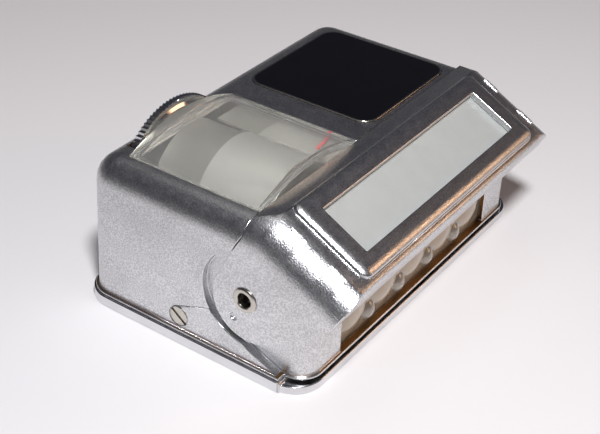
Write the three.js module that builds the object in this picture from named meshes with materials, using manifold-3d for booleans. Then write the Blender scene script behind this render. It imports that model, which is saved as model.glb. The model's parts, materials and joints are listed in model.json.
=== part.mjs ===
// Pocket photoelectric exposure meter: a drawn metal case with a light cell behind a moulded
// honeycomb lens, a hinged diffuser flap, a moving-coil movement and a scale drum under a clear
// arched window. Millimetres, +Z up. The origin is the middle of the flat underside; the lens
// faces -Y and the scale window is on the -X side.
import * as THREE from 'three';
import { mergeVertices } from 'three/addons/utils/BufferGeometryUtils.js';
import Module from 'manifold-3d';

const wasm = await Module();
wasm.setup();

// ---------------------------------------------------------------- driving dimensions
const HALF_WIDTH = 30; // case at its foot, X
const HALF_DEPTH = 19.275; // case at its foot, Y
const HEIGHT = 23.74; // top plate above the surface it stands on
const SHEET = 0.8; // thickness of the drawn case
const SIDE_DRAFT = 0.036; // the side walls lean in by this much per millimetre of height
const END_DRAFT = 0.018;
const CORNER_RADIUS = 4.1;
const EDGE_RADIUS = 3.84;
const FOOT = 1.75; // lower edge of the case, above the base tray's rim
const HEM_HEIGHT = 0.42;
const HEM_PROUD = 0.4;

const RIM_PROUD = 0.72; // base tray's rim beyond the case
const RIM_HEIGHT = 1.7;
const FRONT_RIM_HEIGHT = 1.3;
const FRONT_RIM_PROUD = 0.5;
const RIM_NOTCH_Y = -16.2; // where the taller rear rim stops
const FLOOR = 1;

const PIVOT_Y = -9.485; // hinge of the flap, across the case
const PIVOT_Z = 12.06;
const EAR_GAP = 0.15;
const EAR_OUTER = 29.5;
const EAR_SHEET = 0.75;
const RECESS_HALF_WIDTH = EAR_OUTER - EAR_SHEET - EAR_GAP;
const RECESS_RADIUS = 7.2; // round the hinge
const NOSE_RADIUS = 10.9; // case's front top edge, round the hinge

const SLOPE = THREE.MathUtils.degToRad(27.8); // flap's face, below the horizontal
const FACE = 12.57; // flap's face from the hinge axis, square to the slope
const LIP = 11.5; // flap's front lip from the hinge axis, along the slope
const LIP_END = 7.68;
const SHOULDER_RADIUS = 5.2;
const BEZEL_HEIGHT = 0.78;
const BEZEL_MIDDLE = 3.4; // middle of the bezel along the slope
const BEZEL_HALF_LENGTH = 23.65;
const BEZEL_HALF_WIDTH = 6.95;
const PANE_HALF_LENGTH = 20.2; // opening in the bezel
const PANE_HALF_WIDTH = 4;

const WINDOW = { left: -25.45, right: -2.35, front: -8.95, back: 13.925 };
const DRUM_X = -13.9;
const DRUM_Z = 15.2;
const DRUM_RADIUS = 9;
const WHEEL_RADIUS = 11.9;
const WHEEL_FRONT = 14.675;
const WHEEL_BACK = 16.125;
const WHEEL_TEETH = 100;
const SHAFT_RADIUS = 1;
const DOME_RADIUS = 27;
const DOME_TOP = 26.35;
const DOME_WALL = 1.2;

const PLATE = { left: 2.42, right: 25.3, front: -7.775, back: 14.725, corner: 2.6, depth: 0.4 };

const LENS_HALF_WIDTH = 20.4;
const LENS_BOTTOM = FOOT + HEM_HEIGHT;
const LENS_TOP = 15.6;
const CELL_PITCH = 8.16;
const CELL_CAP_RADIUS = 8;
const CELL_RADIUS = 3.8;
const CELL_ROW_Z = 6.3; // middle of the lower row
const BEAD_CAP_RADIUS = 1.95;
const BEAD_RADIUS = 1.7;
const BEAD_Z = 4; // middle of the row of beads

const SCREW_Y = 1.885; // side screws
const SCREW_Z = 4.11;

const COIL_X = 9; // upright axis of the moving coil
const COIL_Y = 1.2;
const POINTER_REST = THREE.MathUtils.degToRad(23.5);
const CORE_RADIUS = 3.1;
const GAP_RADIUS = 4.75; // bore of the pole pieces
const MAGNET_BOTTOM = 6;
const MAGNET_TOP = 14;
const ZERO_ARM = 6.2; // zero screw from the coil's axis
const ZERO_THROW = 0.7;

const ROUND = 8; // facets in a quarter turn of a large round edge

// ---------------------------------------------------------------- finishes
const finish = (color, roughness, metalness) => (
  new THREE.MeshStandardMaterial({ color, roughness, metalness })
);
const satinChrome = () => finish(0xb9bcc0, 0.38, 1);
const brightChrome = () => finish(0xd8d9da, 0.15, 1);
const nickel = () => finish(0xc9c4b8, 0.3, 1);
const brass = () => finish(0xc09a52, 0.35, 1);
const softIron = () => finish(0x77797c, 0.5, 1);
const alnico = () => finish(0x5d5f63, 0.6, 1);
const steel = () => finish(0x9da0a4, 0.35, 1);
const copper = () => finish(0xb4683a, 0.4, 1);
const springBronze = () => finish(0xb98a48, 0.35, 1);
const phenolic = () => finish(0x4a2c1a, 0.55, 0);
const selenium = () => finish(0x3a3634, 0.35, 0.3);
const amberResin = () => finish(0xb98e63, 0.12, 0);
const clearAcrylic = () => finish(0xf2f1ea, 0.06, 0);
const opalGlass = () => finish(0xd6d8d4, 0.25, 0);
const blackLacquer = () => finish(0x0c0c0e, 0.12, 0);
const scalePaper = () => finish(0xe6e4dc, 0.6, 0);
const redLacquer = () => finish(0xc8202a, 0.4, 0);
const wireSleeve = (color) => finish(color, 0.7, 0);

// ---------------------------------------------------------------- shapes
const vec = (x, y, z) => new THREE.Vector3(x, y, z);
const OUTLINE_YZ = new THREE.Matrix4().makeBasis(vec(0, 1, 0), vec(0, 0, 1), vec(1, 0, 0));
const OUTLINE_XZ = new THREE.Matrix4().makeBasis(vec(1, 0, 0), vec(0, 0, 1), vec(0, -1, 0));
const plain = (depth) => ({ depth, bevelEnabled: false, curveSegments: ROUND });

// An outline in Y and Z, given thickness along X.
function prismX(outline, x0, x1) {
  return new THREE.ExtrudeGeometry(outline, plain(x1 - x0)).applyMatrix4(OUTLINE_YZ).translate(x0, 0, 0);
}

// An outline in X and Z, given thickness along Y.
function prismY(outline, y0, y1) {
  return new THREE.ExtrudeGeometry(outline, plain(y1 - y0)).applyMatrix4(OUTLINE_XZ).translate(0, y1, 0);
}

// An outline in X and Y, given thickness along Z.
function prismZ(outline, z0, z1) {
  return new THREE.ExtrudeGeometry(outline, plain(z1 - z0)).translate(0, 0, z0);
}

function block(x0, x1, y0, y1, z0, z1) {
  const geometry = new THREE.BoxGeometry(x1 - x0, y1 - y0, z1 - z0);
  return geometry.translate((x0 + x1) / 2, (y0 + y1) / 2, (z0 + z1) / 2);
}

function polygon(points) {
  return new THREE.Shape(points.map(([a, b]) => new THREE.Vector2(a, b)));
}

function roundedRectangle(left, right, low, high, radius) {
  const shape = new THREE.Shape();
  shape.absarc(right - radius, low + radius, radius, -Math.PI / 2, 0);
  shape.absarc(right - radius, high - radius, radius, 0, Math.PI / 2);
  shape.absarc(left + radius, high - radius, radius, Math.PI / 2, Math.PI);
  shape.absarc(left + radius, low + radius, radius, Math.PI, 1.5 * Math.PI);
  shape.closePath();
  return shape;
}

// A profile of [radius, height] pairs turned about Z, X or Y. It runs up its outer side.
function turned(profile, facets = 32) {
  const points = profile.map(([radius, height]) => new THREE.Vector2(radius, height));
  return new THREE.LatheGeometry(points, facets);
}
const turnedZ = (profile, facets) => turned(profile, facets).rotateX(Math.PI / 2);
const turnedX = (profile, facets) => turned(profile, facets).rotateZ(-Math.PI / 2);

function pin(radius, low, high) {
  return [[0, low], [radius, low], [radius, high], [0, high]];
}

function tube(inner, outer, low, high) {
  return [[inner, low], [outer, low], [outer, high], [inner, high], [inner, low]];
}

// ---------------------------------------------------------------- cutting and joining
function solid(geometry) {
  const bare = geometry.clone();
  bare.deleteAttribute('normal');
  bare.deleteAttribute('uv');
  const merged = mergeVertices(bare, 1e-4);
  const corners = merged.index.array;
  const kept = [];
  for (let i = 0; i < corners.length; i += 3) {
    const [a, b, c] = corners.slice(i, i + 3);
    if (a !== b && b !== c && c !== a) {
      kept.push(a, b, c);
    }
  }
  const vertProperties = new Float32Array(merged.attributes.position.array);
  return new wasm.Manifold(new wasm.Mesh({ numProp: 3, vertProperties, triVerts: new Uint32Array(kept) }));
}

function shapeOf(manifold) {
  const { vertProperties, triVerts } = manifold.getMesh();
  const geometry = new THREE.BufferGeometry();
  geometry.setAttribute('position', new THREE.BufferAttribute(vertProperties, 3));
  geometry.setIndex(new THREE.BufferAttribute(triVerts, 1));
  return geometry;
}

const cut = (body, ...tools) => tools.reduce((left, tool) => left.subtract(solid(tool)), body);
const join = (first, ...others) => others.reduce((sum, other) => sum.add(solid(other)), first);

const meter = new THREE.Group();

function place(group, name, geometry, material) {
  const mesh = new THREE.Mesh(geometry, material);
  mesh.name = name;
  group.add(mesh);
  return mesh;
}

// ---------------------------------------------------------------- case
// A box with rounded corners and top edges, drawn in towards its top.
function drawnBox(inset) {
  const halfWidth = HALF_WIDTH - inset;
  const halfDepth = HALF_DEPTH - inset;
  const edge = EDGE_RADIUS - inset;
  const outline = roundedRectangle(-halfWidth, halfWidth, -halfDepth, halfDepth, CORNER_RADIUS - inset);
  const geometry = new THREE.ExtrudeGeometry(outline, {
    depth: HEIGHT - inset - edge, bevelThickness: edge, bevelSize: edge, bevelOffset: -edge,
    bevelSegments: 6, curveSegments: 5,
  });
  const places = geometry.attributes.position;
  for (let i = 0; i < places.count; i += 1) {
    const z = places.getZ(i);
    places.setX(i, places.getX(i) * (1 - SIDE_DRAFT * z / HALF_WIDTH));
    places.setY(i, places.getY(i) * (1 - END_DRAFT * z / HALF_DEPTH));
  }
  return solid(geometry);
}

// Everything behind the edge of the side recess: a ramp from the foot, a round part about the
// hinge, and a straight part behind the flap's ears.
function behindRecess(inset) {
  const radius = RECESS_RADIUS + inset;
  const foot = new THREE.Vector2(-15.9 + inset, 1.9);
  const toHinge = new THREE.Vector2(PIVOT_Y, PIVOT_Z).sub(foot);
  const ramp = toHinge.angle() - Math.asin(radius / toHinge.length());
  const start = ramp - Math.PI / 2;
  const end = THREE.MathUtils.degToRad(70);
  const shape = new THREE.Shape();
  shape.moveTo(foot.x, 0);
  shape.lineTo(foot.x, foot.y);
  shape.absarc(PIVOT_Y, PIVOT_Z, radius, start, end);
  shape.lineTo(-8.4 + inset, 21.5);
  shape.lineTo(-8.8 + inset, HEIGHT + 1);
  shape.lineTo(HALF_DEPTH + 5, HEIGHT + 1);
  shape.lineTo(HALF_DEPTH + 5, 0);
  return solid(prismX(shape, -HALF_WIDTH - 5, HALF_WIDTH + 5));
}

// The narrower front part: upright to the height of the hinge, then round about the hinge.
function noseBody(inset) {
  const half = RECESS_HALF_WIDTH - inset;
  const radius = NOSE_RADIUS - inset;
  const roundX = 3;
  const roundR = 3.4;
  const profile = [[0, -half]];
  for (let i = 0; i <= ROUND; i += 1) {
    const angle = (i / ROUND) * Math.PI / 2;
    profile.push([radius - roundR + roundR * Math.sin(angle), -half + roundX - roundX * Math.cos(angle)]);
  }
  for (let i = ROUND; i >= 0; i -= 1) {
    const angle = (i / ROUND) * Math.PI / 2;
    profile.push([radius - roundR + roundR * Math.sin(angle), half - roundX + roundX * Math.cos(angle)]);
  }
  profile.push([0, half]);
  const barrel = solid(turnedX(profile, 60).translate(0, PIVOT_Y, PIVOT_Z));
  const lower = solid(block(-half, half, -HALF_DEPTH + inset, 0, -1, PIVOT_Z));
  const corners = roundedRectangle(-half, half, -HALF_DEPTH + inset, 10, 3.2 - inset);
  return barrel.add(lower).intersect(solid(prismZ(corners, -1, HEIGHT)));
}

function caseBody(inset) {
  return drawnBox(inset).intersect(behindRecess(inset)).add(noseBody(inset));
}

// The rolled hem round the foot of the case.
function hem() {
  const proud = HEM_PROUD;
  const wide = HALF_WIDTH + proud;
  const deep = HALF_DEPTH + proud;
  const nose = RECESS_HALF_WIDTH + proud;
  const top = FOOT + HEM_HEIGHT;
  const rear = solid(prismZ(roundedRectangle(-wide, wide, -14, deep, CORNER_RADIUS + proud), FOOT, top));
  const front = solid(prismZ(roundedRectangle(-nose, nose, -deep, 0, 3.2 + proud), FOOT, top));
  const rearSquare = solid(block(-wide, wide, RIM_NOTCH_Y + 0.3, 5, FOOT, top));
  const inner = HALF_WIDTH - SHEET;
  const within = roundedRectangle(-inner, inner, -5, HALF_DEPTH - SHEET, CORNER_RADIUS - SHEET);
  const half = RECESS_HALF_WIDTH - SHEET;
  const noseWithin = roundedRectangle(-half, half, -HALF_DEPTH + SHEET, 0, 3.2 - SHEET);
  return cut(rear.add(rearSquare).add(front), prismZ(within, 0, 5), prismZ(noseWithin, 0, 5));
}

function sideScrewSeat(side, clearance) {
  const face = HALF_WIDTH - SIDE_DRAFT * SCREW_Z;
  const profile = [
    [0, face - 4], [0.75 + clearance, face - 4], [0.75 + clearance, face - 0.85],
    [1.55 + clearance, face - 0.02], [1.55 + clearance, face + clearance], [0, face + clearance],
  ];
  const geometry = turnedX(profile, 24);
  if (side < 0) {
    geometry.rotateZ(Math.PI);
  }
  return geometry.translate(0, SCREW_Y, SCREW_Z);
}

function wheelSlot() {
  const halfLength = 9.4;
  const front = WHEEL_FRONT - 0.15;
  const back = WHEEL_BACK + 0.2;
  return block(DRUM_X - halfLength, DRUM_X + halfLength, front, back, 20, HEIGHT + 1);
}

function platePocket(clearance, low, high) {
  const { left, right, front, back, corner } = PLATE;
  const outline = roundedRectangle(
    left - clearance, right + clearance, front - clearance, back + clearance, corner + clearance);
  return prismZ(outline, low, high);
}

function topHousing() {
  const hollow = caseBody(SHEET).add(solid(block(-20, 20, -10, 10, -6, 5)));
  const shell = caseBody(0).subtract(solid(block(-40, 40, -40, 40, -10, FOOT))).subtract(hollow);
  const pivotHole = turnedX(pin(1.62, -40, 40), 24).translate(0, PIVOT_Y, PIVOT_Z);
  return cut(
    shell.add(hem()),
    block(WINDOW.left, WINDOW.right, WINDOW.front, WINDOW.back, 22, HEIGHT + 3),
    wheelSlot(),
    platePocket(0.08, HEIGHT - PLATE.depth, HEIGHT + 1),
    block(-LENS_HALF_WIDTH, LENS_HALF_WIDTH, -HALF_DEPTH - 2, -HALF_DEPTH + 3, LENS_BOTTOM, LENS_TOP),
    pivotHole,
    sideScrewSeat(-1, 0.08),
    sideScrewSeat(1, 0.08),
  );
}

function baseTray() {
  const wide = HALF_WIDTH + RIM_PROUD;
  const deep = HALF_DEPTH + RIM_PROUD;
  const corner = CORNER_RADIUS + RIM_PROUD;
  const frontWide = HALF_WIDTH + FRONT_RIM_PROUD;
  const frontDeep = HALF_DEPTH + RIM_PROUD;
  const rear = solid(prismZ(roundedRectangle(-wide, wide, -deep, deep, corner), 0, RIM_HEIGHT));
  const rearOnly = solid(block(-40, 40, RIM_NOTCH_Y, 40, -1, 5));
  const front = prismZ(roundedRectangle(-frontWide, frontWide, -frontDeep, 5, corner), 0, FRONT_RIM_HEIGHT);
  const tray = join(rear.intersect(rearOnly), front);
  const inner = roundedRectangle(-27.6, 27.6, -17.4, 17.9, 3);
  const tabs = [-1, 1].map((side) => {
    const [x0, x1] = [side * 28.15, side * 28.95].sort((a, b) => a - b);
    return block(x0, x1, SCREW_Y - 3, SCREW_Y + 3, 1.2, SCREW_Z + 2.6);
  });
  const tapped = turnedX(pin(0.8, -40, 40), 20).translate(0, SCREW_Y, SCREW_Z);
  const zeroHole = turnedZ(pin(2.3, -1, 3), 28).translate(COIL_X + ZERO_ARM, COIL_Y, 0);
  return cut(join(cut(tray, prismZ(inner, FLOOR, 5)), ...tabs), tapped, zeroHole);
}

function sideScrew(side) {
  const face = HALF_WIDTH - SIDE_DRAFT * SCREW_Z;
  const [x0, x1] = [side * (face - 0.45), side * (face + 1)].sort((a, b) => a - b);
  const slot = block(x0, x1, -2, 2, -0.19, 0.19).rotateX(THREE.MathUtils.degToRad(-38 * side));
  return shapeOf(cut(solid(sideScrewSeat(side, 0)), slot.translate(0, SCREW_Y, SCREW_Z)));
}

// ---------------------------------------------------------------- lens and light cell
// A convex cap that stands out of the lens's face: a slice of a ball, reach wide at its foot.
function lensCap(radius, reach, facets) {
  const rings = 4;
  const spread = Math.asin(reach / radius);
  const profile = [[0, 0]];
  for (let i = rings; i >= 0; i -= 1) {
    const angle = (spread * i) / rings;
    profile.push([radius * Math.sin(angle), radius * (Math.cos(angle) - Math.cos(spread))]);
  }
  return turned(profile, facets).rotateX(Math.PI);
}

// Two rows of round cells, the upper row shifted by half a pitch, and a small clear bead in each
// gap of the lower row.
function lensCells(front) {
  const cell = lensCap(CELL_CAP_RADIUS, CELL_RADIUS, 24);
  const bead = lensCap(BEAD_CAP_RADIUS, BEAD_RADIUS, 18);
  const rows = [
    { cap: cell, count: 5, z: CELL_ROW_Z },
    { cap: cell, count: 6, z: CELL_ROW_Z + (CELL_PITCH * Math.sqrt(3)) / 2 },
    { cap: bead, count: 4, z: BEAD_Z },
  ];
  const cells = [];
  for (const { cap, count, z } of rows) {
    for (let i = 0; i < count; i += 1) {
      cells.push(cap.clone().translate((i - (count - 1) / 2) * CELL_PITCH, front, z));
    }
  }
  return cells;
}

function honeycombLens() {
  const front = -18.4;
  const half = LENS_HALF_WIDTH - 0.1;
  const wide = LENS_HALF_WIDTH + 1.2;
  const plate = block(-wide, wide, front, -17.3, FOOT + 0.1, LENS_TOP + 0.5);
  const cells = lensCells(front + 0.1);
  const clip = solid(block(-half, half, -HALF_DEPTH - 2, -17.5, LENS_BOTTOM + 0.08, LENS_TOP - 0.1));
  const domes = join(solid(cells[0]), ...cells.slice(1)).intersect(clip);
  return shapeOf(join(domes, plate));
}

function cellCarrier() {
  const outer = solid(block(-22.6, 22.6, -16.6, -14.6, FLOOR + 0.1, 16.2));
  return shapeOf(cut(outer, block(-21.2, 21.2, -18, -15.6, 2.2, 15.5), block(-14, 14, -16, -14, 4.5, 13)));
}

function cellContact(side) {
  const outline = polygon([[-14.5, 3], [-14.1, 3], [-14.1, 8.2], [-15.2, 9.4], [-15.5, 9.2], [-14.5, 8]]);
  return prismX(outline, side * 11 - 1.5, side * 11 + 1.5);
}

// ---------------------------------------------------------------- flap
// u runs down the slope and n stands square to it, both from the hinge.
function onFlap(u, n) {
  const y = PIVOT_Y - u * Math.cos(SLOPE) - n * Math.sin(SLOPE);
  const z = PIVOT_Z - u * Math.sin(SLOPE) + n * Math.cos(SLOPE);
  return [y, z];
}

const FLAP_BREAK = -3.46; // where the face bends down towards its rear edge
const FLAP_BASIS = new THREE.Matrix4().makeBasis(
  vec(1, 0, 0),
  vec(0, Math.cos(SLOPE), Math.sin(SLOPE)),
  vec(0, -Math.sin(SLOPE), Math.cos(SLOPE)),
).setPosition(0, PIVOT_Y, PIVOT_Z);

// Geometry made in x, -u and n, set on the flap.
const ontoFlap = (geometry) => geometry.applyMatrix4(FLAP_BASIS);

// A block between two places down the slope, u0 and u1.
function flapBlock(x0, x1, u0, u1, n0, n1) {
  return ontoFlap(block(x0, x1, -u1, -u0, n0, n1));
}

function flapSideOutline() {
  const ear = { y: 9.3 - HALF_DEPTH, z: 11.2, radius: 6.05 };
  const round = 1.2;
  const shape = new THREE.Shape();
  shape.moveTo(-8.575, 21.5);
  shape.lineTo(-8.975, 24);
  shape.lineTo(...onFlap(FLAP_BREAK, FACE));
  shape.lineTo(...onFlap(LIP - round, FACE));
  shape.quadraticCurveTo(...onFlap(LIP, FACE), ...onFlap(LIP, FACE - round));
  shape.lineTo(...onFlap(LIP, LIP_END));
  shape.absarc(ear.y, ear.z, ear.radius, THREE.MathUtils.degToRad(-122), THREE.MathUtils.degToRad(26));
  return shape;
}

function flapHollowOutline() {
  const face = FACE - EAR_SHEET;
  const lip = LIP - EAR_SHEET;
  return polygon([
    [12, 23.2], [-8.6, 23.2], onFlap(FLAP_BREAK, face), onFlap(lip - 0.5, face), onFlap(lip, face - 0.5),
    onFlap(lip, LIP_END), onFlap(lip + 3, LIP_END), onFlap(lip + 3, -15), [12, -5],
  ]);
}

// The flap's section across X, with its rounded shoulders, in x and a height.
function shoulderSection(half, top, radius) {
  const shape = new THREE.Shape();
  shape.moveTo(-half, -20);
  shape.lineTo(half, -20);
  shape.absarc(half - radius, top - radius, radius, 0, Math.PI / 2);
  shape.absarc(radius - half, top - radius, radius, Math.PI / 2, Math.PI);
  return shape;
}

function shouldered(outline, inset) {
  const half = EAR_OUTER - inset;
  const radius = SHOULDER_RADIUS - inset;
  const alongSlope = new THREE.ExtrudeGeometry(shoulderSection(half, FACE - inset, radius), plain(60));
  alongSlope.applyMatrix4(OUTLINE_XZ).translate(0, 30, 0);
  const rearTop = onFlap(FLAP_BREAK, FACE)[1];
  const level = prismY(shoulderSection(half, rearTop - inset, radius), -40, 40);
  return solid(prismX(outline, -half, half)).intersect(solid(ontoFlap(alongSlope))).intersect(solid(level));
}

function bezel() {
  const bevel = 1.25;
  const half = BEZEL_HALF_LENGTH;
  const outline = roundedRectangle(-half, half, -BEZEL_HALF_WIDTH, BEZEL_HALF_WIDTH, 1.4);
  const geometry = new THREE.ExtrudeGeometry(outline, {
    depth: 0.3, bevelThickness: BEZEL_HEIGHT, bevelSize: bevel, bevelOffset: -bevel, bevelSegments: 4,
    curveSegments: 3,
  });
  return ontoFlap(geometry.translate(0, -BEZEL_MIDDLE, FACE - 0.3));
}

// Raised grip pads on the flap's shoulders. Each runs out into the shoulder at its outer end, and
// carries a second, smaller step.
function padSection(inner, rise) {
  const middle = EAR_OUTER - SHOULDER_RADIUS - 1.2 * rise;
  const radius = SHOULDER_RADIUS + rise;
  const section = new THREE.Shape();
  section.moveTo(inner, FACE - 3);
  section.lineTo(inner, FACE - SHOULDER_RADIUS);
  section.lineTo(middle + radius, FACE - SHOULDER_RADIUS);
  section.absarc(middle, FACE - SHOULDER_RADIUS, radius, 0, Math.acos((inner - middle) / radius));
  return section;
}

function gripPads() {
  const steps = [
    { inner: 25.7, rise: 0.3, inset: 0 },
    { inner: 26.1, rise: 0.42, inset: 0.4 },
  ];
  const pads = [];
  for (const [u0, u1] of [[-1.35, 1.47], [5.66, 8.7]]) {
    for (const { inner, rise, inset } of steps) {
      const length = u1 - u0 - 2 * inset;
      const pad = new THREE.ExtrudeGeometry(padSection(inner, rise), plain(length));
      pad.applyMatrix4(OUTLINE_XZ);
      pads.push(solid(ontoFlap(pad.clone().translate(0, -u0 - inset, 0))));
      pads.push(solid(ontoFlap(pad.rotateZ(Math.PI).translate(0, -u1 + inset, 0))));
    }
  }
  return pads;
}

function diffuserFlap() {
  const outer = shouldered(flapSideOutline(), 0);
  const hollow = shouldered(flapHollowOutline(), EAR_SHEET);
  let flap = outer;
  for (const pad of gripPads()) {
    flap = flap.add(pad);
  }
  flap = join(flap, bezel()).subtract(hollow);
  const dimples = [-1, 1].map((side) => {
    const [x0, x1] = [side * (EAR_OUTER - 0.35), side * (EAR_OUTER + 1)].sort((a, b) => a - b);
    return turnedX(pin(0.6, x0, x1), 16).translate(0, PIVOT_Y + 1.93, PIVOT_Z - 3.71);
  });
  const middle = BEZEL_MIDDLE;
  const opening = { low: middle - PANE_HALF_WIDTH, high: middle + PANE_HALF_WIDTH };
  return shapeOf(cut(
    flap,
    flapBlock(-PANE_HALF_LENGTH, PANE_HALF_LENGTH, opening.low, opening.high, 10, 16),
    flapBlock(-21.2, 21.2, middle - 4.95, middle + 4.95, 10, 12.35),
    turnedX(pin(1.62, -40, 40), 24).translate(0, PIVOT_Y, PIVOT_Z),
    ...dimples,
  ));
}

function opalPane() {
  return flapBlock(-21, 21, BEZEL_MIDDLE - 4.75, BEZEL_MIDDLE + 4.75, 11.5, 12.25);
}

function paneRetainer() {
  const middle = BEZEL_MIDDLE;
  const outer = solid(flapBlock(-23.4, 23.4, middle - 6.1, middle + 6.1, 11.15, 11.6));
  return shapeOf(cut(
    outer,
    flapBlock(-21.2, 21.2, middle - 4.95, middle + 4.95, 11.42, 12),
    flapBlock(-19.8, 19.8, middle - 3.6, middle + 3.6, 10, 12),
  ));
}

// ---------------------------------------------------------------- hinge
function hingeRivet(side) {
  const head = EAR_OUTER + 0.03;
  const tail = RECESS_HALF_WIDTH - SHEET - 0.6;
  const profile = [
    [1.1, tail - 0.3], [1.9, tail - 0.3], [1.9, tail], [1.5, tail], [1.5, head], [1.95, head],
    [1.95, head + 0.12], [1.7, head + 0.28], [1.3, head + 0.3], [1.1, head + 0.15], [1.1, tail - 0.3],
  ];
  const geometry = turnedX(profile, 24);
  if (side < 0) {
    geometry.rotateZ(Math.PI);
  }
  return geometry.translate(0, PIVOT_Y, PIVOT_Z);
}

function hingeWasher(side) {
  const outer = RECESS_HALF_WIDTH - SHEET - 0.08;
  const [x0, x1] = [side * outer, side * (outer - 0.4)].sort((a, b) => a - b);
  return turnedX(tube(1.6, 2.7, x0, x1), 20).translate(0, PIVOT_Y, PIVOT_Z);
}

// ---------------------------------------------------------------- window and drum
function arch(radius, foot) {
  const middle = DOME_TOP - DOME_RADIUS;
  const reach = Math.acos((foot - middle) / radius);
  const shape = new THREE.Shape();
  shape.absarc(DRUM_X, middle, radius, Math.PI / 2 - reach, Math.PI / 2 + reach);
  shape.closePath();
  return shape;
}

function windowDome() {
  const half = (WINDOW.right - WINDOW.left) / 2 - 0.08;
  const foot = 22.98;
  const front = WINDOW.front + 0.1;
  const back = WINDOW.back - 0.08;
  const skirt = block(DRUM_X - half, DRUM_X + half, front, back, foot, HEIGHT + 0.02);
  const outer = solid(prismY(arch(DOME_RADIUS, HEIGHT - 0.4), front, back));
  const clip = solid(block(DRUM_X - half, DRUM_X + half, -20, 20, foot, 30));
  const hollow = prismY(arch(DOME_RADIUS - DOME_WALL, foot - 0.5), WINDOW.front + 1.1, WINDOW.back - 1.1);
  return shapeOf(cut(join(outer, skirt).intersect(clip), hollow));
}

function namePlate() {
  return platePocket(0, HEIGHT - PLATE.depth + 0.02, HEIGHT + 0.14);
}

const drumAxis = (geometry) => geometry.translate(DRUM_X, 0, DRUM_Z);

function scaleDrum() {
  const rear = DRUM_RADIUS - 0.45;
  const profile = [
    [1.03, -6.2], [2.4, -6.2], [2.4, -1], [DRUM_RADIUS - 0.8, -1], [DRUM_RADIUS - 0.8, -6.6],
    [DRUM_RADIUS, -6.6], [DRUM_RADIUS, 5.4], [rear, 5.4], [rear, 12.55], [rear - 0.8, 12.55],
    [rear - 0.8, 0.2], [2.4, 0.2], [2.4, 12.5], [1.03, 12.5], [1.03, -6.2],
  ];
  return drumAxis(turned(profile, 48));
}

function settingWheel() {
  const outline = new THREE.Shape();
  const root = WHEEL_RADIUS - 0.32;
  for (let i = 0; i < WHEEL_TEETH; i += 1) {
    const step = (2 * Math.PI) / WHEEL_TEETH;
    const tip = i * step;
    const valley = tip + step / 2;
    const at = (radius, angle) => [radius * Math.cos(angle), radius * Math.sin(angle)];
    if (i === 0) {
      outline.moveTo(...at(WHEEL_RADIUS, tip));
    } else {
      outline.lineTo(...at(WHEEL_RADIUS, tip));
    }
    outline.lineTo(...at(root, valley));
  }
  const rim = solid(prismY(outline, WHEEL_FRONT + 0.35, WHEEL_BACK));
  const shoulder = [
    [0, WHEEL_FRONT - 0.9], [2.4, WHEEL_FRONT - 0.9], [2.4, WHEEL_FRONT], [10.6, WHEEL_FRONT],
    [11.3, WHEEL_FRONT + 0.5], [0, WHEEL_FRONT + 0.5],
  ];
  const bore = turned(pin(1.03, 0, 20), 24);
  return drumAxis(shapeOf(cut(join(rim, turned(shoulder, 48)), bore)));
}

function drumShaft() {
  return drumAxis(turned(pin(SHAFT_RADIUS, -8.2, 18.05), 24));
}

function shaftClip() {
  return drumAxis(turned(tube(1.02, 2, 17.66, 17.98), 24));
}

function frictionSpring() {
  return drumAxis(turned(tube(1.15, 3.2, WHEEL_BACK + 0.25, WHEEL_BACK + 0.6), 28));
}

function drumBracket() {
  const strap = block(-16.9, -10.9, -8, 17.6, FLOOR + 0.05, FLOOR + 0.75);
  const upright = new THREE.Shape();
  upright.moveTo(-16.9, FLOOR + 0.05);
  upright.lineTo(-10.9, FLOOR + 0.05);
  upright.absarc(DRUM_X, DRUM_Z, 2.6, 0, Math.PI);
  const front = prismY(upright, -8, -7.3);
  const rear = prismY(upright, 16.9, 17.6);
  const bore = drumAxis(turned(pin(1.08, -20, 20), 24));
  return shapeOf(cut(join(solid(strap), front, rear), bore));
}

// The fixed plate beside the drum, under the pointer: a flat top on an upright that stands on the
// tray.
function scalePlate() {
  const top = 21.4;
  const upright = -0.1;
  const sheet = 0.4;
  const section = polygon([
    [-6.75, top], [-6.75, top - sheet], [upright, top - sheet],
    [upright, FLOOR + 0.05], [upright + sheet, FLOOR + 0.05], [upright + sheet, top],
  ]);
  return prismY(section, -6.6, 13);
}

// ---------------------------------------------------------------- movement
const movement = new THREE.Group();
movement.position.set(COIL_X, COIL_Y, 0);

function movementPlate() {
  const plate = solid(block(-7.5, 15.5, -10, 10.5, FLOOR + 0.05, FLOOR + 0.85));
  const pivotHole = turnedZ(pin(1.05, 0, 4), 24);
  const screwHole = turnedZ(pin(1.7, 0, 4), 24).translate(ZERO_ARM, 0, 0);
  return shapeOf(cut(plate, pivotHole, screwHole));
}

function meterMagnet() {
  const shape = new THREE.Shape();
  shape.moveTo(-4.5, -9.4);
  shape.lineTo(8, -9.4);
  shape.absarc(8, -4.4, 5, -Math.PI / 2, 0);
  shape.absarc(8, 4.4, 5, 0, Math.PI / 2);
  shape.lineTo(-4.5, 9.4);
  shape.lineTo(-4.5, 6.2);
  shape.lineTo(8.5, 6.2);
  shape.lineTo(9.8, 4.9);
  shape.lineTo(9.8, -4.9);
  shape.lineTo(8.5, -6.2);
  shape.lineTo(-4.5, -6.2);
  return prismZ(shape, MAGNET_BOTTOM, MAGNET_TOP);
}

function polePiece(side) {
  const [y0, y1] = [side * 2.6, side * 6.15].sort((a, b) => a - b);
  const body = solid(block(-4.5, 4.5, y0, y1, MAGNET_BOTTOM + 0.5, MAGNET_TOP - 0.5));
  return shapeOf(cut(body, turnedZ(pin(GAP_RADIUS, 0, 20), 40)));
}

function ironCore() {
  return turnedZ(pin(CORE_RADIUS, MAGNET_BOTTOM + 0.5, MAGNET_TOP - 0.5), 32);
}

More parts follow.
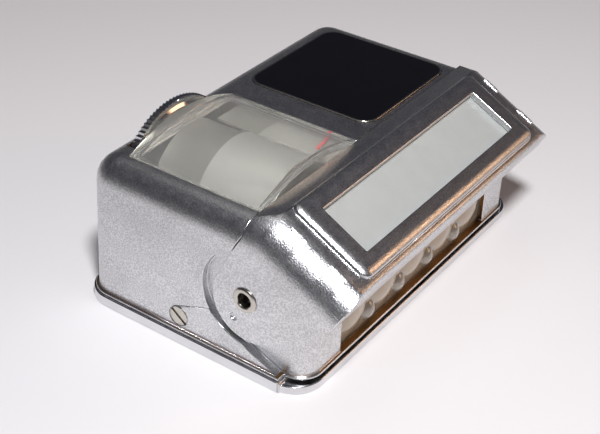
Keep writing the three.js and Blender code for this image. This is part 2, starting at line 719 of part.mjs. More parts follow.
function coreBracket() {
  const web = solid(block(2.6, 9.75, -0.7, 0.7, MAGNET_BOTTOM + 1.5, MAGNET_TOP - 1.5));
  const foot = block(9, 9.75, -3, 3, MAGNET_BOTTOM + 1.5, MAGNET_TOP - 1.5);
  return shapeOf(cut(join(web, foot), turnedZ(pin(CORE_RADIUS + 0.03, 0, 20), 32)));
}

function magnetPost(side) {
  return turnedZ(pin(1.5, FLOOR + 0.9, MAGNET_BOTTOM - 0.05), 20).translate(2, side * 7.8, 0);
}

function bridgePost() {
  return turnedZ(pin(1.4, MAGNET_TOP + 0.05, 18.95), 20).translate(11.4, 0, 0);
}

function upperBridge() {
  const plate = roundedRectangle(-2.2, 13.2, -2.2, 2.2, 2.1);
  const holes = [turnedZ(pin(1.03, 0, 30), 24), turnedZ(pin(0.85, 0, 30), 20).translate(11.4, 0, 0)];
  return shapeOf(cut(solid(prismZ(plate, 19, 19.9)), ...holes));
}

function slottedScrew(headRadius, shankRadius, low, seat, top) {
  const shank = [[0, low], [shankRadius, low], [shankRadius, seat]];
  const head = [[headRadius, seat], [headRadius, top], [0, top]];
  const profile = [...shank, ...head];
  const slot = block(-headRadius - 1, headRadius + 1, -0.2, 0.2, top - 0.45, top + 1);
  return shapeOf(cut(solid(turnedZ(profile, 24)), slot));
}

function upperJewel() {
  return shapeOf(cut(solid(turnedZ(pin(1, 18.2, 20.9), 24)), turnedZ(pin(0.36, 17, 19), 12),
    block(-2, 2, -0.2, 0.2, 20.5, 22)));
}

function lowerJewel() {
  return shapeOf(cut(solid(turnedZ(pin(1, FLOOR + 0.1, 3.2), 24)), turnedZ(pin(0.36, 2.4, 4), 12)));
}

const moving = new THREE.Group();
moving.rotation.z = POINTER_REST;
movement.add(moving);

const COIL = { low: 4.6, high: 15.9, outer: 4.25, inner: 3.45, thick: 1.6 };

function movingCoil() {
  const outer = solid(block(-COIL.thick / 2, COIL.thick / 2, -COIL.outer, COIL.outer, COIL.low, COIL.high));
  const window = block(-3, 3, -COIL.inner, COIL.inner, COIL.low + 0.9, COIL.high - 0.9);
  return shapeOf(cut(outer, window));
}

function upperPivot() {
  const foot = COIL.high + 0.02;
  return turnedZ([[0, foot], [0.8, foot], [0.8, 16.4], [0.3, 16.5], [0.3, 18.6], [0, 18.85]], 16);
}

function lowerPivot() {
  const foot = COIL.low - 0.02;
  return turnedZ([[0, 2.55], [0.3, 2.8], [0.3, 4], [0.8, 4.1], [0.8, foot], [0, foot]], 16);
}

// The needle leaves the pivot, climbs past the magnet and dips over the drum.
function pointerNeedle() {
  const path = [
    [-0.36, 17.75], [-5, 17.75], [-7.6, 22], [-12.6, 22.1],
    [-14.8, 22.5], [-17.6, 23.6], [-19, 24.1], [-20.1, 24.35],
  ];
  const half = 0.13;
  const top = path.map(([x, z]) => [x, z + half]);
  const under = path.map(([x, z]) => [x, z - half]).reverse();
  const needle = solid(prismY(polygon([...under, ...top].reverse()), -0.22, 0.22));
  return shapeOf(needle);
}

function balanceArm() {
  const arm = solid(block(0.35, 4.2, -0.25, 0.25, 17.6, 17.9));
  return shapeOf(join(arm, turnedZ(pin(0.75, 17.3, 18.2), 16).translate(4.2, 0, 0)));
}

// A flat spiral strip, three turns from the pivot out to its anchor.
function hairspring(low) {
  const turns = 3;
  const steps = 16 * turns;
  const [start, stop, thick] = [0.95, 2.5, 0.16];
  const at = (i, offset) => {
    const angle = (i / steps) * turns * 2 * Math.PI;
    const radius = start + (stop - start) * (i / steps) + offset;
    return [radius * Math.cos(angle), radius * Math.sin(angle)];
  };
  const outer = [];
  const inner = [];
  for (let i = 0; i <= steps; i += 1) {
    outer.push(at(i, thick / 2));
    inner.push(at(i, -thick / 2));
  }
  return prismZ(polygon([...outer, ...inner.reverse()]), low, low + 0.35);
}

function zeroLever() {
  const ring = solid(turnedZ(tube(1.1, 2.1, 2.05, 2.45), 24));
  const arm = block(1.6, ZERO_ARM + 1.5, -0.9, 0.9, 2.05, 2.45);
  const bore = turnedZ(pin(1.1, 0, 5), 24);
  const fork = block(ZERO_ARM - 0.3, ZERO_ARM + 3, -0.47, 0.47, 0, 5);
  return shapeOf(cut(join(ring, arm), bore, fork));
}

function zeroScrew() {
  const head = solid(turnedZ([[0, 0.2], [2.1, 0.2], [2.1, 0.95], [1.4, 0.98], [1.4, 1.6], [0, 1.6]], 28));
  const crank = turnedZ(pin(0.38, 1.5, 2.7), 14).translate(ZERO_THROW, 0, 0);
  return shapeOf(cut(join(head, crank), block(-3, 3, -0.3, 0.3, -1, 0.65)));
}

// ---------------------------------------------------------------- wiring
function resistor() {
  const profile = [[0, -4], [2, -4], [2, -3.3], [1.5, -3.3], [1.5, 3.3], [2, 3.3], [2, 4], [0, 4]];
  return turnedX(profile, 20).translate(14, -12, 3.2);
}

function leadWire(points) {
  const section = new THREE.Shape().absarc(0, 0, 0.35, 0, 2 * Math.PI);
  const curve = new THREE.CatmullRomCurve3(points.map((point) => vec(...point)));
  return new THREE.ExtrudeGeometry(section, { steps: 20, extrudePath: curve, curveSegments: 4 });
}

// ---------------------------------------------------------------- the object
place(meter, 'top_housing', shapeOf(topHousing()), satinChrome());
place(meter, 'base_tray', shapeOf(baseTray()), brightChrome());
place(meter, 'honeycomb_lens', honeycombLens(), amberResin());
place(meter, 'selenium_cell', block(-21, 21, -16.9, -15.9, 2.4, 15.3), selenium());
place(meter, 'cell_carrier', cellCarrier(), phenolic());
place(meter, 'window_dome', windowDome(), clearAcrylic());
place(meter, 'nameplate', namePlate(), blackLacquer());

for (const [side, word] of [[-1, 'left'], [1, 'right']]) {
  place(meter, `cell_contact_${word}`, cellContact(side), springBronze());
  place(meter, `side_screw_${word}`, sideScrew(side), nickel());
  place(meter, `hinge_rivet_${word}`, hingeRivet(side), nickel());
  place(meter, `hinge_spring_washer_${word}`, hingeWasher(side), steel());
}

place(meter, 'diffuser_flap', diffuserFlap(), satinChrome());
place(meter, 'opal_pane', opalPane(), opalGlass());
place(meter, 'pane_retainer', paneRetainer(), nickel());

place(meter, 'drum_bracket', drumBracket(), brass());
place(meter, 'scale_plate', scalePlate(), scalePaper());
place(meter, 'drum_friction_spring', frictionSpring(), springBronze());
place(meter, 'drum_shaft', drumShaft(), steel());
place(meter, 'scale_drum', scaleDrum(), scalePaper());
place(meter, 'setting_wheel', settingWheel(), brightChrome());
place(meter, 'shaft_clip', shaftClip(), steel());

meter.add(movement);
place(movement, 'movement_plate', movementPlate(), brass());
place(movement, 'meter_magnet', meterMagnet(), alnico());
place(movement, 'pole_piece_front', polePiece(-1), softIron());
place(movement, 'pole_piece_rear', polePiece(1), softIron());
place(movement, 'core', ironCore(), softIron());
place(movement, 'core_bracket', coreBracket(), brass());
place(movement, 'magnet_post_front', magnetPost(-1), brass());
place(movement, 'magnet_post_rear', magnetPost(1), brass());
place(movement, 'bridge_post', bridgePost(), brass());
place(movement, 'bridge_upper', upperBridge(), brass());
const bridgeScrew = slottedScrew(1.6, 0.8, 19.02, 19.95, 20.8);
place(movement, 'bridge_screw', bridgeScrew, steel()).position.set(11.4, 0, 0);
place(movement, 'jewel_screw_upper', upperJewel(), brass());
place(movement, 'jewel_screw_lower', lowerJewel(), brass());
place(movement, 'hairspring_upper', hairspring(16.75), springBronze());
place(movement, 'hairspring_lower', hairspring(3.45), springBronze());
place(movement, 'zero_lever', zeroLever(), nickel());
place(movement, 'zero_screw', zeroScrew(), nickel()).position.set(ZERO_ARM, 0, 0);

place(moving, 'moving_coil', movingCoil(), copper());
place(moving, 'pivot_upper', upperPivot(), steel());
place(moving, 'pivot_lower', lowerPivot(), steel());
place(moving, 'pointer', pointerNeedle(), redLacquer());
place(moving, 'balance_arm', balanceArm(), brass());

place(meter, 'calibration_resistor', resistor(), copper());
const frontLead = [[-11, -13.6, 4], [-8, -12.4, 3.5], [-2, -11.5, 3], [5, -11.3, 2.8], [9.2, -12, 3]];
const rearLead = [
  [11, -13.6, 4.6], [12, -12.6, 7], [14, -11, 10],
  [17, -9.6, 14], [18.6, -6, 15.6], [19.6, -1.4, 15.2],
];
place(meter, 'lead_wire_front', leadWire(frontLead), wireSleeve(0x8c1d18));
place(meter, 'lead_wire_rear', leadWire(rearLead), wireSleeve(0x20242c));

export default meter;
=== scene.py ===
import json
import math

import bmesh
import bpy
from mathutils import Matrix, Vector

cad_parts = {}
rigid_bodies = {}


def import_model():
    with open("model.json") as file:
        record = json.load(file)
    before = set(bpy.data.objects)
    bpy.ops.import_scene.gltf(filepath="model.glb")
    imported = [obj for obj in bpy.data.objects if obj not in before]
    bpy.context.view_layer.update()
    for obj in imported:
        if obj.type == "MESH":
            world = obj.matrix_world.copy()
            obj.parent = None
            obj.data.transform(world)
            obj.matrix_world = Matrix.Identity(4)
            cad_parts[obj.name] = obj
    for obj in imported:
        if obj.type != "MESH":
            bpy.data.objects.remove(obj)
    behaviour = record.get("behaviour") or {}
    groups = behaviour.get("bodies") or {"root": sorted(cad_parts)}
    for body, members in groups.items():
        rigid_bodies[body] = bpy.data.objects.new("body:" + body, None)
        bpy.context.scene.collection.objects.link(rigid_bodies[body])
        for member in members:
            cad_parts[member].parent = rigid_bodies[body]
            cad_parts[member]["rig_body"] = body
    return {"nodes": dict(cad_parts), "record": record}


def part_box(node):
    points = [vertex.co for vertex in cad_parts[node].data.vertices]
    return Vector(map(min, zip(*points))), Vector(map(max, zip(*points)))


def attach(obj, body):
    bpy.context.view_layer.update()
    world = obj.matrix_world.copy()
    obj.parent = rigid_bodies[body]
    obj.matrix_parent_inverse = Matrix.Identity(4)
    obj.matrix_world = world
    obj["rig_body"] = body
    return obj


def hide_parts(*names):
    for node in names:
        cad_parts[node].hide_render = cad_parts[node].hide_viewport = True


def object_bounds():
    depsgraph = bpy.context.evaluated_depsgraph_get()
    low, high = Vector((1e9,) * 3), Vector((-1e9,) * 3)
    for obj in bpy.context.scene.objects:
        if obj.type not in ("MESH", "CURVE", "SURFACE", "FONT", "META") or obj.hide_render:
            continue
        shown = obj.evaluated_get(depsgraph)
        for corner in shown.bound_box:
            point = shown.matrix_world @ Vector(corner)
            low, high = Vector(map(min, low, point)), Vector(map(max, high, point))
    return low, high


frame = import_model()
cad_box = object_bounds()

bl_info = {
    "name": "Pocket Exposure Meter",
    "version": (1, 0, 0),
    "blender": (4, 5, 0),
    "location": "3D View > Sidebar > Meter",
    "description": "Finishes a pocket exposure meter: chromed case, diffuser flap, scale window and wheel",
    "category": "Add Mesh",
}

MM = 0.001
WELD = 0.002 * MM
FLAT_DEG = 0.4  # faces that meet at less than this are one flat face
CREASE_DEG = 28  # edges sharper than this stay creases
SOFT_EDGE = 0.12 * MM  # edge of the moulded clear and opal pieces
KNURL_EDGE = 0.05 * MM  # edge of the wheel's knurls

SENSOR_MM = 36.0
WALL_TOP = 0.4  # height, as a share of the view upwards, where the pale foot of the walls ends
# each lamp's name, place, width, power property and colour
LAMPS = (
    ("flash", (-0.132, -0.117, 0.292), 0.05, "flash_power", "fbfcff"),
    ("room lamp", (0.29, -0.3, 0.17), 0.18, "warm_power", "ffcda2"),
    ("top lamp", (0.04, 0.12, 0.5), 0.3, "top_power", "fffaf4"),
)

PIT_DIRT = "2b2a29"
# colour of the painted shade in the hollows between the chrome's grains
HOLLOW_SHADE = "1c1c1e"
PLAIN_SHARE = 0.88  # share of the pattern's cells that hold no pit
DRUM_SEAM = 4.6 * MM  # where the drum's card turns darker, along Y
PLATE_SEAM = 5.4 * MM  # where the fixed scale plate turns darker, along Y
SEAM_BLUR = 0.1 * MM

SHEET = 1.3 * MM  # the inner faces of the case lie at least half of this inside its box
DEEP_SHEETS = 1.9  # and, if they don't face sideways, this many sheets from its sides

PAD_INNER_X = 23.7 * MM  # the grip pads' edges lie between these two, on both sides
PAD_OUTER_X = 28.72 * MM
PAD_FADE_X = 27.3 * MM  # beyond this the pads' steps are too low to round
PAD_EDGE_SHARE = 0.28

BEAD_PITCH = 8.16 * MM
BEAD_Z = 4 * MM
BEAD_DEPTH = 0.88 * MM  # how far behind the lens's front the beads reach
BEAD_RADIUS = 1.68 * MM


# ---------------------------------------------------------------- properties
class MeterStage(bpy.types.PropertyGroup):
    """The floor, the lamps and the camera."""

    camera_place: bpy.props.FloatVectorProperty(
        name="Camera place",
        description="Where the camera stands, from the middle of the meter's underside",
        default=(-0.135217, -0.089562, 0.11504),
        subtype="XYZ",
        unit="LENGTH",
        precision=5,
    )
    azimuth: bpy.props.FloatProperty(
        name="Azimuth",
        description="Turn of the camera round the meter, from its lens side",
        default=math.radians(-55.85),
        subtype="ANGLE",
    )
    elevation: bpy.props.FloatProperty(
        name="Elevation",
        description="Angle of the camera's view below the horizon",
        default=math.radians(34.0),
        subtype="ANGLE",
    )
    roll: bpy.props.FloatProperty(
        name="Roll",
        description="Turn of the camera about its own line of sight",
        default=math.radians(2.094),
        subtype="ANGLE",
    )
    focal_mm: bpy.props.FloatProperty(
        name="Focal length",
        description="Focal length on a sensor 36 mm wide",
        default=75.64,
        unit="CAMERA",
    )
    floor_colour: bpy.props.FloatVectorProperty(
        name="Floor colour",
        description="Colour of the paper floor, as sRGB",
        default=(0.93, 0.918, 0.918),
        subtype="COLOR_GAMMA",
        min=0,
        max=1,
    )
    floor_reach: bpy.props.FloatProperty(
        name="Floor reach",
        description="Radius of the paper floor",
        default=2.4,
        unit="LENGTH",
    )
    flash_power: bpy.props.FloatProperty(
        name="Flash power",
        description="Power of the small cool lamp by the camera",
        default=1.15,
        unit="POWER",
    )
    warm_power: bpy.props.FloatProperty(
        name="Room lamp power",
        description="Power of the wide warm lamp on the nameplate side",
        default=0.24,
        unit="POWER",
    )
    top_power: bpy.props.FloatProperty(
        name="Top lamp power",
        description="Power of the wide soft lamp overhead",
        default=0.12,
        unit="POWER",
    )
    room_colour: bpy.props.FloatVectorProperty(
        name="Room colour",
        description="Colour of the dim room overhead, which the top of the meter mirrors",
        default=(0.22, 0.22, 0.25),
        subtype="COLOR_GAMMA",
        min=0,
        max=1,
    )
    wall_colour: bpy.props.FloatVectorProperty(
        name="Wall colour",
        description="Colour of the paler foot of the room's walls",
        default=(0.4, 0.4, 0.4),
        subtype="COLOR_GAMMA",
        min=0,
        max=1,
    )


class MeterFinish(bpy.types.PropertyGroup):
    """Sizes of the edges and of the grain, and the main colours."""

    case_edge: bpy.props.FloatProperty(
        name="Case edge",
        description="Radius of the pressed metal edges",
        default=0.14 * MM,
        unit="LENGTH",
        precision=6,
    )
    small_edge: bpy.props.FloatProperty(
        name="Small edge",
        description="Radius of the edges of screws, rivets and turned pieces",
        default=0.06 * MM,
        unit="LENGTH",
        precision=6,
    )
    grain: bpy.props.FloatProperty(
        name="Grain",
        description="Width of the grains of the satin chrome",
        default=0.2 * MM,
        unit="LENGTH",
        precision=6,
    )
    chrome: bpy.props.FloatVectorProperty(
        name="Chrome",
        description="Colour of the chrome plating, as sRGB",
        default=(0.9, 0.9, 0.907),
        subtype="COLOR_GAMMA",
        min=0,
        max=1,
    )
    plate_rim: bpy.props.FloatProperty(
        name="Nameplate rim",
        description="Width of the bare metal rim of the nameplate",
        default=0.26 * MM,
        unit="LENGTH",
        precision=6,
    )


# ---------------------------------------------------------------- node helper
def linear(colour):
    """A colour given as an sRGB hex string, or as sRGB parts, in linear parts with alpha."""
    if isinstance(colour, str):
        colour = [int(colour[i : i + 2], 16) / 255 for i in (0, 2, 4)]
    parts = [c / 12.92 if c <= 0.04045 else ((c + 0.055) / 1.055) ** 2.4 for c in colour[:3]]
    return (*parts, 1.0)


def put(tree, kind, inputs=None, **settings):
    """Adds a node, sets its settings, and sets or links its inputs."""
    made = tree.nodes.new(kind)
    for key, value in settings.items():
        setattr(made, key, value)
    for key, value in (inputs or {}).items():
        if isinstance(value, bpy.types.NodeSocket):
            tree.links.new(value, made.inputs[key])
        else:
            made.inputs[key].default_value = value
    return made


def per_metre(size_mm):
    """The scale of a pattern whose features are size_mm apart."""
    return 1000.0 / size_mm


def ranged(tree, value, low, high, to_low, to_high):
    """value taken from low..high to to_low..to_high, held at the ends."""
    inputs = {"Value": value, 1: low, 2: high, 3: to_low, 4: to_high}
    return put(tree, "ShaderNodeMapRange", inputs).outputs[0]


def blended(tree, share, first, second):
    """first with share of second over it, as a colour."""
    return put(tree, "ShaderNodeMix", {0: share, 6: first, 7: second}, data_type="RGBA").outputs[2]


def added(tree, first, second, operation="ADD"):
    """A sum, or another operation, on two numbers."""
    return put(tree, "ShaderNodeMath", {0: first, 1: second}, operation=operation).outputs[0]


def new_material(name):
    """An empty material with its tree and its Object coordinates."""
    material = bpy.data.materials.new(name)
    material.use_nodes = True
    tree = material.node_tree
    tree.nodes.clear()
    place = put(tree, "ShaderNodeTexCoord").outputs["Object"]
    return material, tree, place


def finish_with(tree, shader):
    """Links a shader to the material's output."""
    put(tree, "ShaderNodeOutputMaterial", {"Surface": shader.outputs[0]})


def noise(tree, place, size_mm, detail=2.0, roughness=0.5):
    """Smooth noise with features of size_mm."""
    inputs = {"Vector": place, "Scale": per_metre(size_mm), "Detail": detail, "Roughness": roughness}
    return put(tree, "ShaderNodeTexNoise", inputs).outputs["Fac"]


def scratches(tree, place, length_mm, width_mm, turn, rarity):
    """Fine straight marks at one slant: 1 on a mark, 0 off it."""
    stretch = (per_metre(length_mm), per_metre(width_mm), per_metre(width_mm))
    inputs = {"Vector": place, "Rotation": turn, "Scale": stretch}
    turned = put(tree, "ShaderNodeMapping", inputs).outputs[0]
    streaks = put(tree, "ShaderNodeTexNoise", {"Vector": turned, "Scale": 1.0, "Detail": 1.0})
    return ranged(tree, streaks.outputs["Fac"], rarity, rarity + 0.03, 0.0, 1.0)


def pits(tree, place, spacing_mm, radius_mm):
    """Sparse small round marks: 1 inside a mark, 0 outside."""
    inputs = {"Vector": place, "Scale": per_metre(spacing_mm)}
    cells = put(tree, "ShaderNodeTexVoronoi", inputs)
    radius = radius_mm / spacing_mm
    dot = ranged(tree, cells.outputs["Distance"], radius * 0.6, radius, 1.0, 0.0)
    chance = put(tree, "ShaderNodeSeparateColor", {0: cells.outputs["Color"]}).outputs[0]
    chosen = ranged(tree, chance, PLAIN_SHARE, PLAIN_SHARE + 0.01, 0.0, 1.0)
    return added(tree, dot, chosen, "MULTIPLY")


# ---------------------------------------------------------------- metals
def metal(
    name, colour, roughness, grain_mm=0.2, grain_depth_mm=0.0, wear=0.5, dull="6d6a66", painted_hollow_shade=0.0
):
    """A plated, rolled or cut metal. grain_depth_mm is the height of its grain, wear the strength
    of its scratches and pits, dull the colour that handling has left in soft patches, and the last
    argument how much painted shade darkens the hollows between its grains."""
    material, tree, place = new_material(name)
    patch = noise(tree, place, 7.0, 4.0, 0.6)
    fine = noise(tree, place, 1.1, 3.0, 0.6)
    tint = blended(tree, ranged(tree, patch, 0.42, 0.75, 0.0, 0.16), linear(colour), linear(dull))
    marks = added(
        tree,
        scratches(tree, place, 6.0, 0.09, (0.2, 0.5, 0.7), 0.71),
        scratches(tree, place, 4.0, 0.07, (1.1, -0.4, 2.2), 0.72),
        "MAXIMUM",
    )
    holes = pits(tree, place, 3.4, 0.1)
    tint = blended(tree, added(tree, holes, 0.75 * wear, "MULTIPLY"), tint, linear(PIT_DIRT))
    rough = ranged(tree, fine, 0.3, 0.7, roughness * 0.86, roughness * 1.14)
    rough = added(tree, rough, added(tree, patch, 0.07, "MULTIPLY"))
    rough = added(tree, rough, added(tree, marks, 0.12 * wear, "MULTIPLY"))
    worn = added(tree, added(tree, marks, 0.35, "MULTIPLY"), holes)
    relief = {"Height": worn, "Distance": 0.02 * MM, "Strength": 0.6 * wear}
    normal = put(tree, "ShaderNodeBump", relief, invert=True).outputs[0]
    # painted shade: the base colour turns darker in the hollows of the grain noise
    if painted_hollow_shade > 0:
        hollow = ranged(tree, noise(tree, place, grain_mm, 1.0), 0.42, 0.6, painted_hollow_shade, 0.0)
        tint = blended(tree, hollow, tint, linear(HOLLOW_SHADE))
    if grain_depth_mm > 0:
        grain = noise(tree, place, grain_mm, 0.0)
        relief = {"Height": grain, "Distance": grain_depth_mm * MM, "Strength": 1.0, "Normal": normal}
        normal = put(tree, "ShaderNodeBump", relief).outputs[0]
    shader = put(
        tree,
        "ShaderNodeBsdfPrincipled",
        {"Base Color": tint, "Metallic": 1.0, "Roughness": rough, "Normal": normal},
    )
    finish_with(tree, shader)
    return material


def satin_chrome():
    """Chrome over a brass pressing that was blasted matt first: a pale grey that glitters in grains
    wherever a lamp falls on it, with painted shade in the hollows between the grains."""
    props = bpy.context.scene.meter_finish
    grain = props.grain / MM
    return metal("satin chrome on brass", props.chrome, 0.29, grain, 0.03, 0.4, painted_hollow_shade=0.3)


def rubbed_chrome():
    """The same chrome on edges that fingers and pockets have polished: a clean bright line."""
    props = bpy.context.scene.meter_finish
    grain = props.grain / MM
    # fainter painted shade in the hollows between the grains
    return metal("chrome rubbed bright", props.chrome, 0.2, grain, 0.01, 0.3, painted_hollow_shade=0.12)


def bright_chrome():
    """Chrome on a smooth pressing: a clear, slightly wavy mirror of the floor and the lamps."""
    return metal("bright chrome", "dcdcde", 0.1, 0.9, 0.006, 0.6)


def brass_and_painted_glint():
    """The inside of the pressings, taken as unplated brass: dull gold, and its orange also stands in for
    the warm glints of light on the inner edges, a painted reflection.
    """
    return metal("bare brass inside", "8f6c42", 0.4, 0.3, 0.01, 0.5, "4a3320")


def stamped_brass():
    """Rolled brass sheet, stamped: yellow with fine rolling marks."""
    return metal("stamped brass", "c9a35a", 0.3, 0.25, 0.008, 0.5, "7a5526")


def phosphor_bronze():
    """Cold rolled spring bronze: warmer and browner than brass."""
    return metal("phosphor bronze", "b98550", 0.28, 0.2, 0.005, 0.4, "6d4426")


def turned_nickel():
    """Nickel plated turned pieces: warm grey with a soft shine."""
    return metal("turned nickel", "cdc8bf", 0.2, 0.15, 0.008, 0.5)


def turned_steel():
    """Bright turned steel, slightly blued by age."""
    return metal("turned steel", "a9abad", 0.26, 0.12, 0.006, 0.5)


def cast_magnet():
    """Sand cast magnet alloy: dark grey and coarse."""
    return metal("cast magnet alloy", "6b6d70", 0.5, 0.5, 0.06, 0.3)


def soft_iron():
    """Ground soft iron: mid grey and even."""
    return metal("ground soft iron", "85868a", 0.38, 0.2, 0.01, 0.4)


def enamelled_copper():
    """Copper wire under clear enamel: deep orange brown."""
    return metal("enamelled copper wire", "b0653a", 0.3, 0.12, 0.02, 0.2, "5e2f18")


# ---------------------------------------------------------------- other materials
def coated(name, colour, roughness, blotch, depth_mm=0.004, grain_mm=0.4, zone=None, **sockets):
    """A lacquer, plastic or paper with soft blotches of a second colour and a slight relief. zone
    is a place along Y, in metres, and the colour beyond it."""
    material, tree, place = new_material(name)
    patch = noise(tree, place, 3.4, 4.0, 0.6)
    tint = blended(tree, ranged(tree, patch, 0.35, 0.75, 0.0, 0.5), linear(colour), linear(blotch))
    if zone:
        seam, beyond = zone
        along = put(tree, "ShaderNodeSeparateXYZ", {0: place}).outputs["Y"]
        share = ranged(tree, along, seam - SEAM_BLUR, seam + SEAM_BLUR, 0.0, 1.0)
        tint = blended(tree, share, tint, linear(beyond))
    fine = noise(tree, place, grain_mm, 2.0, 0.6)
    rough = ranged(tree, fine, 0.3, 0.7, roughness * 0.85, roughness * 1.2)
    relief = {"Height": fine, "Distance": depth_mm * MM, "Strength": 1.0}
    normal = put(tree, "ShaderNodeBump", relief).outputs[0]
    inputs = {"Base Color": tint, "Roughness": rough, "Normal": normal, **sockets}
    finish_with(tree, put(tree, "ShaderNodeBsdfPrincipled", inputs))
    return material


def black_lacquer():
    """Stove enamelled black on the nameplate: deep, glossy and very slightly wavy."""
    gloss = {"IOR": 1.52, "Coat Weight": 0.5, "Coat Roughness": 0.04}
    return coated("black stove lacquer", "050508", 0.08, "08080d", 0.003, 1.6, **gloss)


def opal_acrylic():
    """Opal acrylic: milky white that glows a little at its edges under a smooth face."""
    milk = {
        "IOR": 1.49,
        "Subsurface Weight": 0.45,
        "Subsurface Scale": 0.8 * MM,
        "Subsurface Radius": (1.0, 0.95, 0.85),
    }
    return coated("opal acrylic", "b9bbb8", 0.16, "aeb1af", 0.0015, 1.2, **milk)


def scale_card():
    """The drum's silvered card: pale at the lens end and smoky grey beyond the seam, with a soft
    metallic sheen along its curve."""
    silver = {"Metallic": 0.85, "IOR": 1.5, "Coat Weight": 0.3, "Coat Roughness": 0.25}
    seam = (DRUM_SEAM, "8e8e89")
    return coated("silvered card", "d2d3d0", 0.34, "c4c5c2", 0.012, 0.25, seam, **silver)


def grey_card():
    """The fixed card beside the drum: silvered too, but duller."""
    silver = {"Metallic": 0.3, "IOR": 1.5, "Coat Weight": 0.2, "Coat Roughness": 0.3}
    seam = (PLATE_SEAM, "6f6f68")
    return coated("dull silvered card", "93938f", 0.42, "868682", 0.012, 0.25, seam, **silver)


def phenolic():
    """Brown moulded phenolic: dark, with flow marks."""
    return coated("brown phenolic", "5a3b25", 0.42, "40281a", 0.01, 0.4, IOR=1.6)


def selenium():
    """The grey selenium face of the cell under its varnish."""
    return coated("selenium layer", "3a3431", 0.3, "2a2726", 0.008, 0.3, IOR=1.6)


def red_lacquer():
    """The pointer's red paint."""
    return coated("red pointer lacquer", "d6232b", 0.4, "b81a24", 0.003, 0.3, IOR=1.5)


def sleeve(name, colour):
    """Woven cotton sleeve on the lead wires."""
    return coated(name, colour, 0.8, "2a2422", 0.04, 0.3, IOR=1.45)


def clear_solid(name, colour, roughness, ior, streak_mm, depth_mm, clarity):
    """A clear moulded solid. Lamps shine through it, so what is behind it is lit. clarity is the
    share of light that passes it: the rest is scattered by fine scratches."""
    material, tree, place = new_material(name)
    waves = noise(tree, place, streak_mm, 2.0, 0.5)
    relief = {"Height": waves, "Distance": depth_mm * MM, "Strength": 1.0}
    normal = put(tree, "ShaderNodeBump", relief).outputs[0]
    smear = noise(tree, place, 5.0, 4.0, 0.6)
    rough = ranged(tree, smear, 0.45, 0.8, roughness, roughness + 0.05)
    inputs = {
        "Base Color": linear(colour),
        "Roughness": rough,
        "IOR": ior,
        "Transmission Weight": clarity,
        "Normal": normal,
    }
    body = put(tree, "ShaderNodeBsdfPrincipled", inputs)
    open_way = put(tree, "ShaderNodeBsdfTransparent", {"Color": linear(colour)})
    lamp_ray = put(tree, "ShaderNodeLightPath").outputs["Is Shadow Ray"]
    mixed = {0: lamp_ray, 1: body.outputs[0], 2: open_way.outputs[0]}
    finish_with(tree, put(tree, "ShaderNodeMixShader", mixed))
    return material


def clear_acrylic():
    """Blown acrylic of the window: clear, with faint waves, and milky from years of handling."""
    return clear_solid("clear acrylic", "f3f2ee", 0.0, 1.49, 4.0, 0.004, 0.92)


def amber_resin():
    """Cast resin of the lens: pale amber brown, slightly cloudy under a glossy face."""
    cast = {"IOR": 1.52, "Coat Weight": 0.6, "Coat Roughness": 0.05}
    return coated("cloudy amber resin", "cdbca6", 0.22, "b39d84", 0.012, 0.5, **cast)


def bead_painted_glint():
    """The lens's small beads, glassy, in a paler copy of the lens's resin that paints in their glints as a
    painted highlight; each one also holds a bright image of the floor.
    """
    glassy = {"IOR": 1.6, "Transmission Weight": 0.35, "Coat Weight": 1.0, "Coat Roughness": 0.03}
    return coated("glassy bead resin", "efe6d8", 0.05, "d8c8b2", 0.001, 1.5, **glassy)


# ---------------------------------------------------------------- mesh helpers
def shown_piece(mesh, name, body, slot_name, materials, *nodes):
    """Makes the object of a finished mesh, hangs it on its body and hides the CAD nodes that it replaces.
    """
    for material in materials:
        mesh.materials.append(material)
    piece = bpy.data.objects.new(name, mesh)
    bpy.context.scene.collection.objects.link(piece)
    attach(piece, body)
    if nodes:
        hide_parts(*nodes)
    return piece


def merged_copy(node):
    """The solid of a CAD node as a bmesh of shared points and flat faces."""
    bm = bmesh.new()
    bm.from_mesh(frame["nodes"][node].data)
    bmesh.ops.remove_doubles(bm, verts=bm.verts, dist=WELD)
    flat = math.radians(FLAT_DEG)
    bmesh.ops.dissolve_limit(bm, angle_limit=flat, verts=bm.verts, edges=bm.edges)
    return bm


def to_mesh(bm, name, crease_deg=CREASE_DEG):
    """Writes a bmesh to a smooth mesh that keeps its creases."""
    for face in bm.faces:
        face.smooth = True
    mesh = bpy.data.meshes.new(name)
    bm.to_mesh(mesh)
    bm.free()
    for extra in ("custom_normal", "sharp_edge", "sharp_face"):
        if extra in mesh.attributes:
            mesh.attributes.remove(mesh.attributes[extra])
    mesh.set_sharp_from_angle(angle=math.radians(crease_deg))
    return mesh


def round_edges(piece, radius, segments=2, material=-1, method="ANGLE"):
    """Rounds the sharp edges of a piece, or with method WEIGHT its marked edges. material is the
    slot of the new faces."""
    bevel = piece.modifiers.new("rounded edges", "BEVEL")
    bevel.width = radius
    bevel.segments = segments
    bevel.limit_method = method
    bevel.angle_limit = math.radians(CREASE_DEG)
    bevel.use_clamp_overlap = False
    bevel.miter_outer = "MITER_ARC"
    bevel.harden_normals = True
    bevel.material = material
    return bevel


def finished_node(node, name, slot_name, materials, radius, segments=2, edge_material=-1):
    """A CAD node carried over as a finished piece: smooth, with rounded edges."""
    body = frame["nodes"][node]["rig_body"]
    piece = shown_piece(to_mesh(merged_copy(node), name), name, body, slot_name, materials, node)
    if radius > 0:
        round_edges(piece, radius, segments, edge_material)
    return piece


def record_slot(node):
    """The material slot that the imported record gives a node."""
    for part in frame["record"]["subparts"]:
        if part["node"] == node:
            return part["material_slot"]
    raise RuntimeError(f"the record names no slot for {node}")


